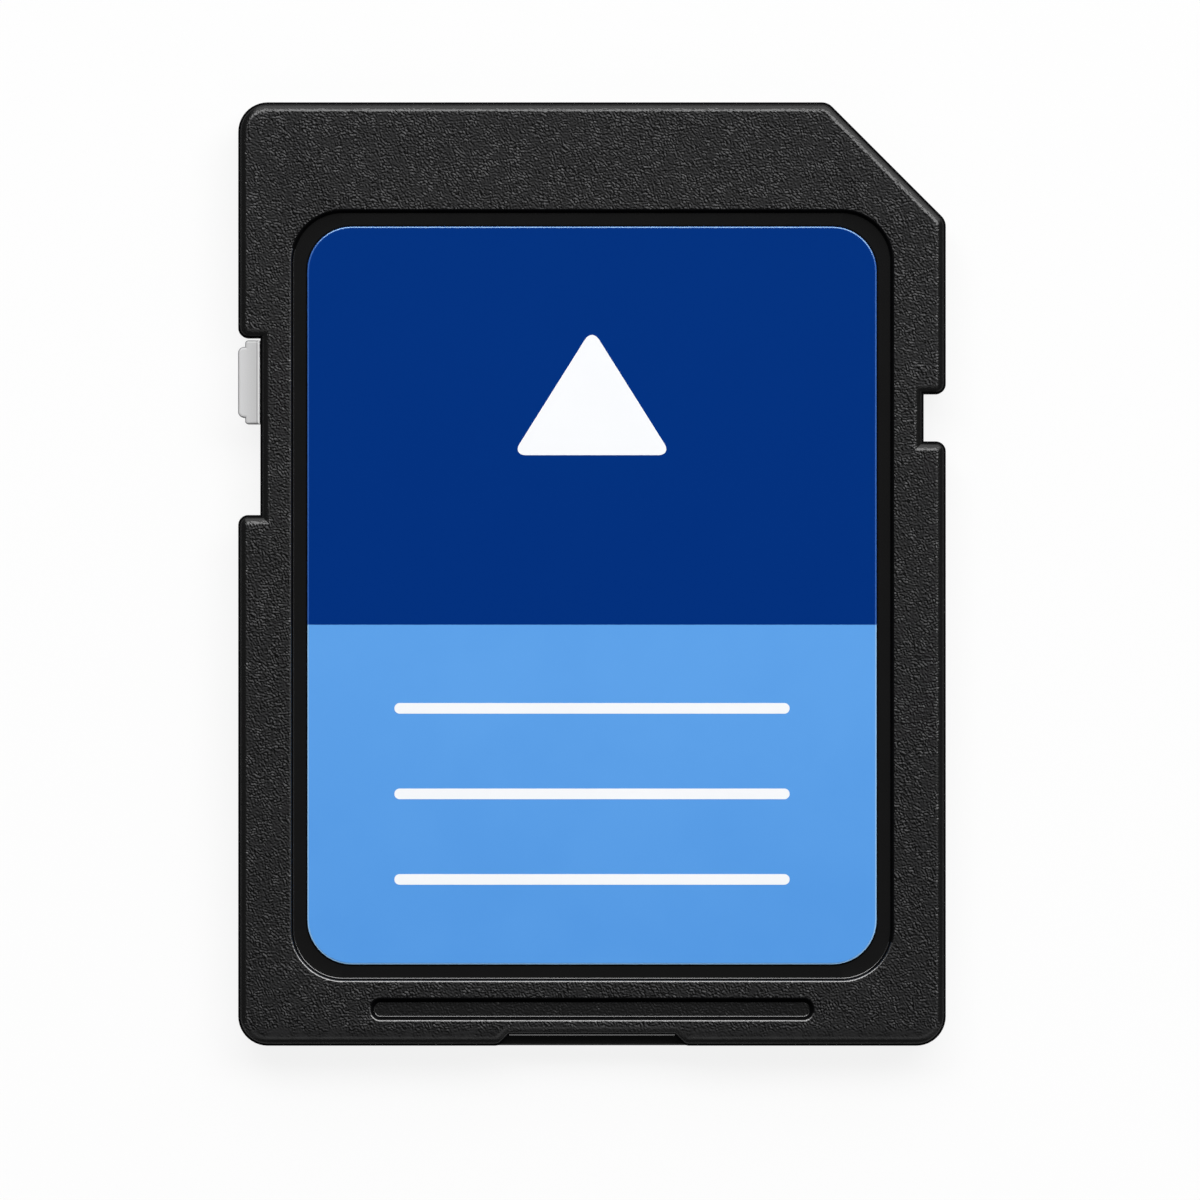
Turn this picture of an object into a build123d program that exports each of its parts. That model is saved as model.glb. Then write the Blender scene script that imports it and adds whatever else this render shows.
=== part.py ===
from build123d import *
import os

# A full-size memory card lying on its back with the label up.
# X runs across the card, Y towards the contact edge and Z out of the label face.
# The origin lies under the middle of the card, on the plane that the card rests on.

# Card outline
CARD_WIDTH = 24.0
CARD_LENGTH = 32.0
CARD_THICKNESS = 2.1
CORNER_RADIUS = 1.0
KEY_CUT = 4.0
KEY_RADIUS = 0.5
EDGE_FILLET = 0.28
MOUTH_LAND = 0.06

# Side rails that run in a socket, and the raised panel between them on the back
RAIL_WIDTH = 0.75
RAIL_THICKNESS = 1.4
PANEL_RADIUS = 0.5
BACK_CHAMFER = 0.22

# The front shell lies on the rear shell at the seam
FRONT_THICKNESS = 0.7
SEAM_CHAMFER = 0.05

# Lock slot on the left side and latch notch on the right, measured from the contact edge
LOCK_SLOT_START = 8.0
LOCK_SLOT_LENGTH = 6.0
LATCH_START = 9.9
LATCH_LENGTH = 1.6

# Nail scoop in the end of the front shell
SCOOP_WIDTH = 6.3
SCOOP_DEPTH = 0.35
SCOOP_ANGLE = 45
SCOOP_RADIUS = 0.2

# Recess for the label, framed by borders of the label face
BORDER_SIDE = 1.75
BORDER_TOP = 3.62
BORDER_END = 2.16
RECESS_DEPTH = 0.2
RECESS_RADIUS = 1.6
RECESS_RIM = 0.08
RECESS_WALL = 0.22

# Grip groove along the end of the label face
GROOVE_LENGTH = 15.1
GROOVE_WIDTH = 0.82
GROOVE_FROM_END = 1.24
GROOVE_DEPTH = 0.25
GROOVE_FOOT = 0.12

# Label: a light film with two printed fields
LABEL_MARGIN = 0.6
LABEL_RADIUS = 1.5
FILM_THICKNESS = 0.08
PRINT_THICKNESS = 0.02
PRINT_INSET = 0.05
UPPER_FIELD_LENGTH = 13.5

# Lock slider, held by a foot in a channel behind the slot's floor
SLIDER_LENGTH = 2.84
SLIDER_THICKNESS = 1.2
SLIDER_END_GAP = 0.08
SLIDER_FLOOR_GAP = 0.04
NUB_LENGTH = 2.4
NUB_HEIGHT = 0.24
NUB_RADIUS = 0.2
SHOULDER_RADIUS = 0.1
SLIDER_EASE = 0.06
NECK_LENGTH = 1.6
NECK_HEIGHT = 0.36
FOOT_LENGTH = 2.2
FOOT_HEIGHT = 0.74
SLIT_GAP = 0.02
CHANNEL_GAP = 0.03
CHANNEL_WIDTH = 0.5
CHANNEL_END_GAP = 0.2
SLOT_WALL = 0.3
CHANNEL_WALL = 0.45

# Bay between the shells: a wide end over the contacts and a narrower part for the chips
SIDE_WALL = 0.75
EDGE_WALL = 0.7
END_WALL = 3.5
BAY_SHOULDER_WALL = 0.5
BAY_RADIUS = 0.4
BOARD_CLEARANCE = 0.1
BOARD_THICKNESS = 0.32
BACK_FLOOR = 0.35

# Half-round keys that place the board, and posts of the front shell that hold it down
KEY_POST_RADIUS = 0.5
KEY_POST_FROM_END = 9.0
HOLD_RADIUS = 0.5
HOLD_SIDE_INSET = 1.25
HOLD_END_INSET = 0.9
HOLD_TOP_INSET = 3.4

# Hollows of the rear shell under the board
HOLLOW_COLUMNS = 3
HOLLOW_ROWS = 4
HOLLOW_RIB = 0.8
HOLLOW_BORDER = 1.0

# Contacts: seven wide windows from the cut corner, then two narrow ones, with ribs between
WIDE_WINDOWS = 7
NARROW_WINDOWS = 2
RIB_WIDTH = 0.8
NARROW_RIB_WIDTH = 0.55
NARROW_WINDOW_WIDTH = 1.15
WINDOW_SIDE = 0.25
WINDOW_END_GAP = 0.3
LIP_DROP = 0.1
PAD_CLEARANCE = 0.1
PAD_THICKNESS = 0.03
PAD_START = 1.1
PAD_LENGTH = 3.8
PAD_RADIUS = 0.2
KEY_PAD_GAP = 0.25
KEY_PAD_END = 0.6

# Parts on the board
MEMORY_WIDTH = 17.0
MEMORY_LENGTH = 12.0
MEMORY_FROM_END = 2.0
MEMORY_HEADROOM = 0.08
CONTROLLER_WIDTH = 7.0
CONTROLLER_LENGTH = 5.0
CONTROLLER_FROM_SIDE = 2.5
CONTROLLER_HEADROOM = 0.13
CHIP_SPACING = 1.2
DIMPLE_RADIUS = 0.4
DIMPLE_INSET = 1.0
DIMPLE_DEPTH = 0.05
SMALL_PARTS = 4
SMALL_PART_PITCH = 1.9
SMALL_PART_HEADROOM = 0.15
SMALL_PART_SPACING = 1.2
CAPACITOR_LENGTH = 1.0
CAPACITOR_WIDTH = 0.5
RESISTOR_LENGTH = 1.0
RESISTOR_WIDTH = 0.6
RESISTOR_THICKNESS = 0.32
CAP_LENGTH = 0.22
CAP_PROUD = 0.03

# Places that follow from the sizes above
RIGHT = CARD_WIDTH / 2
TOP = CARD_LENGTH / 2
SEAM_Z = CARD_THICKNESS - FRONT_THICKNESS
RAIL_Z = CARD_THICKNESS - RAIL_THICKNESS
PANEL_SIDE = RIGHT - RAIL_WIDTH
MOUTH_RADIUS = EDGE_FILLET + MOUTH_LAND
LOCK_SLOT_Y = TOP - LOCK_SLOT_START - LOCK_SLOT_LENGTH / 2
LATCH_Y = TOP - LATCH_START - LATCH_LENGTH / 2
SCOOP_TOP = SCOOP_DEPTH - TOP

RECESS_WIDTH = CARD_WIDTH - 2 * BORDER_SIDE
RECESS_LENGTH = CARD_LENGTH - BORDER_TOP - BORDER_END
RECESS_Y = (BORDER_END - BORDER_TOP) / 2
RECESS_Z = CARD_THICKNESS - RECESS_DEPTH
CEILING_Z = RECESS_Z - RECESS_WALL
GROOVE_Y = GROOVE_FROM_END - TOP
LABEL_WIDTH = RECESS_WIDTH - 2 * LABEL_MARGIN
LABEL_LENGTH = RECESS_LENGTH - 2 * LABEL_MARGIN
LABEL_TOP = RECESS_Y + LABEL_LENGTH / 2
PRINT_Z = RECESS_Z + FILM_THICKNESS

SLIDER_Y = TOP - LOCK_SLOT_START - SLIDER_END_GAP - SLIDER_LENGTH / 2
SLIDER_Z = CARD_THICKNESS - RAIL_THICKNESS / 2
SLIDER_TRAVEL = LOCK_SLOT_LENGTH - SLIDER_LENGTH - 2 * SLIDER_END_GAP
SLOT_FLOOR = -PANEL_SIDE
CHANNEL_X = SLOT_FLOOR + SLOT_WALL
TRACK_Y = SLIDER_Y - SLIDER_TRAVEL / 2
CHANNEL_LENGTH = FOOT_LENGTH + SLIDER_TRAVEL + 2 * CHANNEL_END_GAP
CHANNEL_HEIGHT = FOOT_HEIGHT + 2 * CHANNEL_GAP
SLIT_LENGTH = NECK_LENGTH + SLIDER_TRAVEL + 2 * CHANNEL_END_GAP
SLIT_HEIGHT = NECK_HEIGHT + 2 * SLIT_GAP

BAY_SIDE = PANEL_SIDE - SLOT_WALL - CHANNEL_WIDTH - CHANNEL_WALL
BAY_WIDE_SIDE = PANEL_SIDE - SIDE_WALL
BAY_TOP = TOP - EDGE_WALL
BAY_END = END_WALL - TOP
BAY_SHOULDER = TOP - LOCK_SLOT_START + BAY_SHOULDER_WALL
KEY_LINE = RIGHT + TOP - KEY_CUT
BAY_KEY_LINE = KEY_LINE - EDGE_WALL * 2**0.5
BOARD_KEY_LINE = BAY_KEY_LINE - BOARD_CLEARANCE * 2**0.5
BOARD_Z = RAIL_Z + PAD_THICKNESS
BOARD_TOP_Z = BOARD_Z + BOARD_THICKNESS
KEY_POST_Y = BAY_END + KEY_POST_FROM_END

WINDOW_SPAN = 2 * (BAY_WIDE_SIDE - WINDOW_SIDE)
RIBS_TOTAL = WIDE_WINDOWS * RIB_WIDTH + (NARROW_WINDOWS - 1) * NARROW_RIB_WIDTH
WIDE_WINDOW_WIDTH = (WINDOW_SPAN - RIBS_TOTAL - NARROW_WINDOWS * NARROW_WINDOW_WIDTH) / WIDE_WINDOWS
PAD_TOP = TOP - PAD_START
PAD_BOTTOM = PAD_TOP - PAD_LENGTH
LIP_Z = RAIL_Z - LIP_DROP

MEMORY_Y = BAY_END + MEMORY_FROM_END + MEMORY_LENGTH / 2
CONTROLLER_X = CONTROLLER_FROM_SIDE + CONTROLLER_WIDTH / 2 - BAY_SIDE
CONTROLLER_Y = MEMORY_Y + MEMORY_LENGTH / 2 + CHIP_SPACING + CONTROLLER_LENGTH / 2
SMALL_PARTS_X = CONTROLLER_X + CONTROLLER_WIDTH / 2 + CHIP_SPACING + CAPACITOR_WIDTH / 2
CAPACITOR_Y = MEMORY_Y + MEMORY_LENGTH / 2 + CHIP_SPACING + CAPACITOR_LENGTH / 2
RESISTOR_Y = CAPACITOR_Y + CAPACITOR_LENGTH / 2 + SMALL_PART_SPACING + RESISTOR_LENGTH / 2
CAPACITOR_THICKNESS = CEILING_Z - SMALL_PART_HEADROOM - BOARD_TOP_Z

TO_KEY_CORNER = Axis((0, 0, 0), (1, 1, 0))


def contact_windows():
    """Number, centre and width of each contact window, from the cut corner to the lock side."""
    windows = []
    edge = BAY_WIDE_SIDE - WINDOW_SIDE
    for place in range(WIDE_WINDOWS + NARROW_WINDOWS):
        wide = place < WIDE_WINDOWS
        width = WIDE_WINDOW_WIDTH if wide else NARROW_WINDOW_WIDTH
        number = place if place else WIDE_WINDOWS + NARROW_WINDOWS
        windows.append((number, edge - width / 2, width))
        edge -= width + (RIB_WIDTH if wide else NARROW_RIB_WIDTH)
    return windows


def pad_span(place, x, width):
    """Upper and lower end of a pad; the one at the cut corner stays inside the sloping edge."""
    if place:
        return PAD_TOP, PAD_BOTTOM
    outer_side = x + width / 2 - PAD_CLEARANCE
    return BOARD_KEY_LINE - outer_side - KEY_PAD_GAP, BAY_SHOULDER + KEY_PAD_END


def card_outline():
    """Plan of the card with its cut corner, lock slot and latch notch."""
    with BuildSketch() as outline:
        Rectangle(CARD_WIDTH, CARD_LENGTH)
        fillet(outline.vertices().sort_by(TO_KEY_CORNER)[:-1], CORNER_RADIUS)
        chamfer(outline.vertices().sort_by(TO_KEY_CORNER)[-1], KEY_CUT)
        fillet(outline.vertices().sort_by(TO_KEY_CORNER)[-2:], KEY_RADIUS)
        with Locations((-RIGHT, LOCK_SLOT_Y)):
            Rectangle(2 * RAIL_WIDTH, LOCK_SLOT_LENGTH, mode=Mode.SUBTRACT)
        with Locations((RIGHT, LATCH_Y)):
            Rectangle(2 * RAIL_WIDTH, LATCH_LENGTH, mode=Mode.SUBTRACT)
        columns = outline.vertices().group_by(Axis.X)
        mouths = columns[0].sort_by(Axis.Y)[1:-1] + columns[-1].sort_by(Axis.Y)[1:-1]
        fillet(mouths, MOUTH_RADIUS)
    return outline.sketch


def bay_outline(clearance=0.0):
    """Plan of the bay, or of the board that lies in it with a clearance all round."""
    with BuildSketch() as bay:
        with Locations((0, BAY_END + clearance)):
            Rectangle(
                2 * (BAY_SIDE - clearance),
                BAY_TOP - BAY_END - 2 * clearance,
                align=(Align.CENTER, Align.MIN),
            )
        with Locations((0, BAY_TOP - clearance)):
            Rectangle(
                2 * (BAY_WIDE_SIDE - clearance),
                BAY_TOP - BAY_SHOULDER - 2 * clearance,
                align=(Align.CENTER, Align.MAX),
            )
        corner = BAY_WIDE_SIDE + BAY_TOP - 2 * clearance
        slope = BAY_KEY_LINE - clearance * 2**0.5
        chamfer(bay.vertices().sort_by(TO_KEY_CORNER)[-1], corner - slope)
        rows = bay.vertices().group_by(Axis.Y)
        fillet(rows[0] + rows[-1].sort_by(Axis.X)[:1], BAY_RADIUS)
    return bay.sketch


def window_strips():
    """Plan of the contact windows, each running out through the contact edge."""
    with BuildSketch() as strips:
        for place, (number, x, width) in enumerate(contact_windows()):
            end = pad_span(place, x, width)[1] - WINDOW_END_GAP
            with Locations((x, end)):
                Rectangle(width, TOP - end, align=(Align.CENTER, Align.MIN))
    return strips.sketch


def label_outline(inset=0.0):
    """Plan of the label, or of its print with a bare edge all round."""
    with BuildSketch() as label:
        with Locations((0, RECESS_Y)):
            RectangleRounded(LABEL_WIDTH - 2 * inset, LABEL_LENGTH - 2 * inset, LABEL_RADIUS - inset)
    return label.sketch


def slider_track(height, length, near, far):
    """Space of the given height about the seam, between two distances from the card's middle line."""
    with BuildPart() as track:
        with BuildSketch(Plane.XY.offset(SEAM_Z - height / 2)):
            with Locations((near, TRACK_Y)):
                Rectangle(far - near, length, align=(Align.MIN, Align.CENTER))
        extrude(amount=height)
    return track.part


os.makedirs("parts", exist_ok=True)

slider_channel = slider_track(CHANNEL_HEIGHT, CHANNEL_LENGTH, CHANNEL_X, CHANNEL_X + CHANNEL_WIDTH)
slider_slit = slider_track(SLIT_HEIGHT, SLIT_LENGTH, SLOT_FLOOR, CHANNEL_X)

# Front shell: the label face with its recess, groove and scoop, hollow underneath
with BuildPart() as front_shell:
    with BuildSketch(Plane.XY.offset(SEAM_Z)) as front_plan:
        add(card_outline())
        with Locations((0, -TOP)):
            Trapezoid(
                SCOOP_WIDTH, SCOOP_DEPTH, SCOOP_ANGLE, align=(Align.CENTER, Align.MIN), mode=Mode.SUBTRACT
            )
        fillet(front_plan.vertices().filter_by_position(Axis.Y, SCOOP_TOP, SCOOP_TOP), SCOOP_RADIUS)
        fillet(front_plan.vertices().group_by(Axis.Y)[0].sort_by(Axis.X)[1:-1], MOUTH_RADIUS)
    extrude(amount=FRONT_THICKNESS)
    fillet(front_shell.faces().sort_by(Axis.Z)[-1].edges(), EDGE_FILLET)
    chamfer(front_shell.faces().sort_by(Axis.Z)[0].edges(), SEAM_CHAMFER)

    with BuildSketch(Plane.XY.offset(CARD_THICKNESS)):
        with Locations((0, RECESS_Y)):
            RectangleRounded(RECESS_WIDTH, RECESS_LENGTH, RECESS_RADIUS)
    extrude(amount=-RECESS_DEPTH, mode=Mode.SUBTRACT)
    fillet(front_shell.edges(Select.LAST).group_by(Axis.Z)[-1], RECESS_RIM)

    with BuildSketch(Plane.XY.offset(CARD_THICKNESS)):
        with Locations((0, GROOVE_Y)):
            SlotOverall(GROOVE_LENGTH, GROOVE_WIDTH)
    extrude(amount=-GROOVE_DEPTH, mode=Mode.SUBTRACT)
    fillet(front_shell.edges(Select.LAST).group_by(Axis.Z)[0], GROOVE_FOOT)

    with BuildSketch(Plane.XY.offset(SEAM_Z)):
        add(bay_outline())
    extrude(amount=CEILING_Z - SEAM_Z, mode=Mode.SUBTRACT)
    with BuildSketch(Plane.XY.offset(BOARD_TOP_Z)):
        hold_x = BAY_SIDE - HOLD_SIDE_INSET
        for hold_y in (BAY_END + HOLD_END_INSET, BAY_TOP - HOLD_TOP_INSET):
            with Locations((-hold_x, hold_y), (hold_x, hold_y)):
                Circle(HOLD_RADIUS)
    extrude(amount=CEILING_Z - BOARD_TOP_Z)
    add([slider_channel, slider_slit], mode=Mode.SUBTRACT)
front_shell.part.label = "front_shell"
export_step(front_shell.part, "parts/front_shell.step")

# Rear shell: the rails, the raised back panel and the comb of ribs between the contact windows
with BuildPart() as rear_shell:
    with BuildSketch(Plane.XY.offset(RAIL_Z)):
        add(card_outline())
    extrude(amount=SEAM_Z - RAIL_Z)
    chamfer(rear_shell.faces().sort_by(Axis.Z)[-1].edges(), SEAM_CHAMFER)
    with BuildSketch() as panel_plan:
        Rectangle(2 * PANEL_SIDE, CARD_LENGTH)
        chamfer(panel_plan.vertices().sort_by(TO_KEY_CORNER)[-1], KEY_CUT - RAIL_WIDTH)
        fillet(panel_plan.vertices(), PANEL_RADIUS)
    extrude(amount=RAIL_Z)
    chamfer(rear_shell.faces().sort_by(Axis.Z)[0].edges(), BACK_CHAMFER)

    with BuildSketch(Plane.XY.offset(BOARD_Z)):
        add(bay_outline())
    extrude(amount=SEAM_Z - BOARD_Z, mode=Mode.SUBTRACT)
    with BuildSketch(Plane.XY.offset(BACK_FLOOR)):
        column_pitch = (2 * (BAY_SIDE - HOLLOW_BORDER) + HOLLOW_RIB) / HOLLOW_COLUMNS
        row_pitch = (BAY_SHOULDER - BAY_END - 2 * HOLLOW_BORDER + HOLLOW_RIB) / HOLLOW_ROWS
        with Locations((0, (BAY_SHOULDER + BAY_END) / 2)):
            with GridLocations(column_pitch, row_pitch, HOLLOW_COLUMNS, HOLLOW_ROWS):
                Rectangle(column_pitch - HOLLOW_RIB, row_pitch - HOLLOW_RIB)
    extrude(amount=BOARD_Z - BACK_FLOOR, mode=Mode.SUBTRACT)
    with BuildSketch(Plane.XY.offset(BOARD_Z)):
        with Locations((-BAY_SIDE, KEY_POST_Y), (BAY_SIDE, KEY_POST_Y)):
            Circle(KEY_POST_RADIUS)
    extrude(amount=BOARD_THICKNESS)

    with BuildSketch():
        add(window_strips())
    extrude(amount=LIP_Z, mode=Mode.SUBTRACT)
    with BuildSketch(Plane.XY.offset(LIP_Z)):
        add(window_strips())
        add(bay_outline(), mode=Mode.INTERSECT)
    extrude(amount=BOARD_Z - LIP_Z, mode=Mode.SUBTRACT)
    add([slider_channel, slider_slit], mode=Mode.SUBTRACT)
rear_shell.part.label = "rear_shell"
export_step(rear_shell.part, "parts/rear_shell.step")

# Lock slider at its upper, unlocked end
with BuildPart() as lock_slider:
    with BuildSketch(Plane.XY.offset(SLIDER_Z - SLIDER_THICKNESS / 2)) as slider_plan:
        slider_inner = SLOT_FLOOR - SLIDER_FLOOR_GAP
        with Locations((slider_inner, SLIDER_Y)):
            Rectangle(slider_inner + RIGHT - NUB_HEIGHT, SLIDER_LENGTH, align=(Align.MAX, Align.CENTER))
        fillet(slider_plan.vertices().group_by(Axis.X)[0], SHOULDER_RADIUS)
        with Locations((slider_inner, SLIDER_Y)):
            Rectangle(slider_inner + RIGHT, NUB_LENGTH, align=(Align.MAX, Align.CENTER))
        fillet(slider_plan.vertices().group_by(Axis.X)[0], NUB_RADIUS)
    extrude(amount=SLIDER_THICKNESS)
    slider_levels = lock_slider.faces().sort_by(Axis.Z)
    chamfer(slider_levels[0].edges() + slider_levels[-1].edges(), SLIDER_EASE)

    with BuildSketch(Plane.XY.offset(SEAM_Z - NECK_HEIGHT / 2)):
        foot_near = CHANNEL_X + CHANNEL_GAP
        with Locations((slider_inner, SLIDER_Y)):
            Rectangle(foot_near - slider_inner, NECK_LENGTH, align=(Align.MIN, Align.CENTER))
    extrude(amount=NECK_HEIGHT)
    with BuildSketch(Plane.XY.offset(SEAM_Z - FOOT_HEIGHT / 2)):
        with Locations((foot_near, SLIDER_Y)):
            Rectangle(CHANNEL_WIDTH - 2 * CHANNEL_GAP, FOOT_LENGTH, align=(Align.MIN, Align.CENTER))
    extrude(amount=FOOT_HEIGHT)
lock_slider.part.label = "lock_slider"
export_step(lock_slider.part, "parts/lock_slider.step")

# Label film on the recess floor, with its two printed fields
with BuildPart() as label_film:
    with BuildSketch(Plane.XY.offset(RECESS_Z)):
        add(label_outline())
    extrude(amount=FILM_THICKNESS)
label_film.part.label = "label_film"
export_step(label_film.part, "parts/label_film.step")

with BuildPart() as label_upper_field:
    with BuildSketch(Plane.XY.offset(PRINT_Z)):
        add(label_outline(PRINT_INSET))
        with Locations((0, LABEL_TOP)):
            Rectangle(
                LABEL_WIDTH, UPPER_FIELD_LENGTH, align=(Align.CENTER, Align.MAX), mode=Mode.INTERSECT
            )
    extrude(amount=PRINT_THICKNESS)
label_upper_field.part.label = "label_upper_field"
export_step(label_upper_field.part, "parts/label_upper_field.step")

with BuildPart() as label_lower_field:
    with BuildSketch(Plane.XY.offset(PRINT_Z)):
        add(label_outline(PRINT_INSET))
        with Locations((0, LABEL_TOP)):
            Rectangle(
                LABEL_WIDTH, UPPER_FIELD_LENGTH, align=(Align.CENTER, Align.MAX), mode=Mode.SUBTRACT
            )
    extrude(amount=PRINT_THICKNESS)
label_lower_field.part.label = "label_lower_field"
export_step(label_lower_field.part, "parts/label_lower_field.step")

# Circuit board, with a half-round cut at each key of the rear shell
with BuildPart() as circuit_board:
    with BuildSketch(Plane.XY.offset(BOARD_Z)):
        add(bay_outline(BOARD_CLEARANCE))
        with Locations((-BAY_SIDE, KEY_POST_Y), (BAY_SIDE, KEY_POST_Y)):
            Circle(KEY_POST_RADIUS + BOARD_CLEARANCE, mode=Mode.SUBTRACT)
    extrude(amount=BOARD_THICKNESS)
circuit_board.part.label = "circuit_board"
export_step(circuit_board.part, "parts/circuit_board.step")

# Contact pads under the board, one in each window
for place, (number, pad_x, window_width) in enumerate(contact_windows()):
    upper, lower = pad_span(place, pad_x, window_width)
    with BuildPart() as contact_pad:
        with BuildSketch(Plane.XY.offset(RAIL_Z)):
            with Locations((pad_x, (upper + lower) / 2)):
                RectangleRounded(window_width - 2 * PAD_CLEARANCE, upper - lower, PAD_RADIUS)
        extrude(amount=PAD_THICKNESS)
    contact_pad.part.label = f"contact_pad_{number}"
    export_step(contact_pad.part, f"parts/contact_pad_{number}.step")

# Memory chip and controller chip, each with a dimple at its first corner
with BuildPart() as memory_chip:
    with BuildSketch(Plane.XY.offset(BOARD_TOP_Z)):
        with Locations((0, MEMORY_Y)):
            Rectangle(MEMORY_WIDTH, MEMORY_LENGTH)
    extrude(amount=CEILING_Z - MEMORY_HEADROOM - BOARD_TOP_Z)
    with BuildSketch(Plane.XY.offset(CEILING_Z - MEMORY_HEADROOM)):
        with Locations((DIMPLE_INSET - MEMORY_WIDTH / 2, MEMORY_Y + MEMORY_LENGTH / 2 - DIMPLE_INSET)):
            Circle(DIMPLE_RADIUS)
    extrude(amount=-DIMPLE_DEPTH, mode=Mode.SUBTRACT)
memory_chip.part.label = "memory_chip"
export_step(memory_chip.part, "parts/memory_chip.step")

with BuildPart() as controller_chip:
    with BuildSketch(Plane.XY.offset(BOARD_TOP_Z)):
        with Locations((CONTROLLER_X, CONTROLLER_Y)):
            Rectangle(CONTROLLER_WIDTH, CONTROLLER_LENGTH)
    extrude(amount=CEILING_Z - CONTROLLER_HEADROOM - BOARD_TOP_Z)
    with BuildSketch(Plane.XY.offset(CEILING_Z - CONTROLLER_HEADROOM)):
        dimple_x = CONTROLLER_X - CONTROLLER_WIDTH / 2 + DIMPLE_INSET
        with Locations((dimple_x, CONTROLLER_Y + CONTROLLER_LENGTH / 2 - DIMPLE_INSET)):
            Circle(DIMPLE_RADIUS)
    extrude(amount=-DIMPLE_DEPTH, mode=Mode.SUBTRACT)
controller_chip.part.label = "controller_chip"
export_step(controller_chip.part, "parts/controller_chip.step")

# Capacitors and resistors beside the controller, each a block between two metal end caps
for number in range(SMALL_PARTS):
    small_x = SMALL_PARTS_X + number * SMALL_PART_PITCH
    with BuildPart() as capacitor:
        with BuildSketch(Plane.XY.offset(BOARD_TOP_Z)):
            with Locations((small_x, CAPACITOR_Y)):
                Rectangle(CAPACITOR_WIDTH - 2 * CAP_PROUD, CAPACITOR_LENGTH)
        extrude(amount=CAPACITOR_THICKNESS - CAP_PROUD)
        with BuildSketch(Plane.XY.offset(BOARD_TOP_Z)):
            with Locations((small_x, CAPACITOR_Y)):
                with GridLocations(0, CAPACITOR_LENGTH - CAP_LENGTH, 1, 2):
                    Rectangle(CAPACITOR_WIDTH, CAP_LENGTH)
        extrude(amount=CAPACITOR_THICKNESS)
    capacitor.part.label = f"capacitor_{number + 1}"
    export_step(capacitor.part, f"parts/capacitor_{number + 1}.step")

    with BuildPart() as resistor:
        with BuildSketch(Plane.XY.offset(BOARD_TOP_Z)):
            with Locations((small_x, RESISTOR_Y)):
                Rectangle(RESISTOR_WIDTH - 2 * CAP_PROUD, RESISTOR_LENGTH)
        extrude(amount=RESISTOR_THICKNESS - CAP_PROUD)
        with BuildSketch(Plane.XY.offset(BOARD_TOP_Z)):
            with Locations((small_x, RESISTOR_Y)):
                with GridLocations(0, RESISTOR_LENGTH - CAP_LENGTH, 1, 2):
                    Rectangle(RESISTOR_WIDTH, CAP_LENGTH)
        extrude(amount=RESISTOR_THICKNESS)
    resistor.part.label = f"resistor_{number + 1}"
    export_step(resistor.part, f"parts/resistor_{number + 1}.step")
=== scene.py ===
import math

import bmesh
import bpy
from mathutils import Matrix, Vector


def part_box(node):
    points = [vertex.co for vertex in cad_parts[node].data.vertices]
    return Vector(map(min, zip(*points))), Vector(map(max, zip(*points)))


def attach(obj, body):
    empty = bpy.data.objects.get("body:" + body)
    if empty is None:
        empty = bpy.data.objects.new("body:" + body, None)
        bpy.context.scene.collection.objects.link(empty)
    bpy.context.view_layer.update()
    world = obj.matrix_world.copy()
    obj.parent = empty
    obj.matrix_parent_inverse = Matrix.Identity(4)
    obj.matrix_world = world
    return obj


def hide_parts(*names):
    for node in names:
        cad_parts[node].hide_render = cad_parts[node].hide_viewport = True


# A memory card that lies on its back with the label up: its mouldings, its finishes and its studio.
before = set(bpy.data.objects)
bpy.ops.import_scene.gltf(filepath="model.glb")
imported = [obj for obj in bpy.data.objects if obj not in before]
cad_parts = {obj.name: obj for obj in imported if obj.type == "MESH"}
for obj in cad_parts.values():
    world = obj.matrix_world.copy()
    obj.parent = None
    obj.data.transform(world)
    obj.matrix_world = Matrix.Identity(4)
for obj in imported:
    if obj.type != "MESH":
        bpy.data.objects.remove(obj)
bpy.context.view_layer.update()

MM = 0.001

# Levels and places of the card, read from the solids
FACE_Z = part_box("front_shell")[1].z
CARD_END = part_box("front_shell")[0].y
CARD_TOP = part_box("front_shell")[1].y
FILM_LOW, FILM_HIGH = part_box("label_film")
FILM_SIZE = FILM_HIGH - FILM_LOW
FILM_CENTRE = (FILM_HIGH + FILM_LOW) / 2
UPPER_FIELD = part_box("label_upper_field")
LOWER_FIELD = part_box("label_lower_field")
FIELD_SPLIT = UPPER_FIELD[0].y

# Rolled edge of the front shell, with a flatter shoulder than an ellipse and a sheen on its upper part
EDGE_WIDTH = 0.33 * MM
EDGE_DROP = 0.28 * MM
EDGE_POWER = 1.6
EDGE_SHINE = 0.12 * MM
EDGE_STEPS = 12

# Label recess and grip groove of the front shell
RECESS_MARGIN = 0.6 * MM
RECESS_RADIUS = 1.8 * MM
RECESS_SLOPE = math.radians(70)
# Width of the matt dark ring round the film: a painted shadow at its edge.
FILM_SHADOW_WIDTH = 0.06 * MM
FILM_RADIUS = 1.5 * MM
GROOVE_LENGTH = 15.1 * MM
GROOVE_WIDTH = 0.82 * MM
GROOVE_FROM_END = 1.24 * MM
GROOVE_DEPTH = 0.25 * MM
GROOVE_RADIUS = 0.38 * MM
GROOVE_SLOPE = math.radians(65)
RIM_RADIUS = 0.07 * MM
FOOT_RADIUS = 0.03 * MM
ARC_STEPS = 5
CORNER_STEPS = 24

# Small radii of the other mouldings
SLIDER_REACH = 0.71 * MM
SLIDER_SNUG = 0.025 * MM
SLIDER_EASE_WIDTH = 0.095 * MM
SLIDER_EASE_DROP = 0.06 * MM
REAR_EASE = 0.03 * MM
REAR_EASE_TOP = 0.75 * MM
REAR_EASE_ANGLE = math.radians(60)
REAR_EASE_STEPS = 2
FILM_EASE_WIDTH = 0.05 * MM
FILM_EASE_DROP = 0.02 * MM
EASE_STEPS = 4

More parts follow.
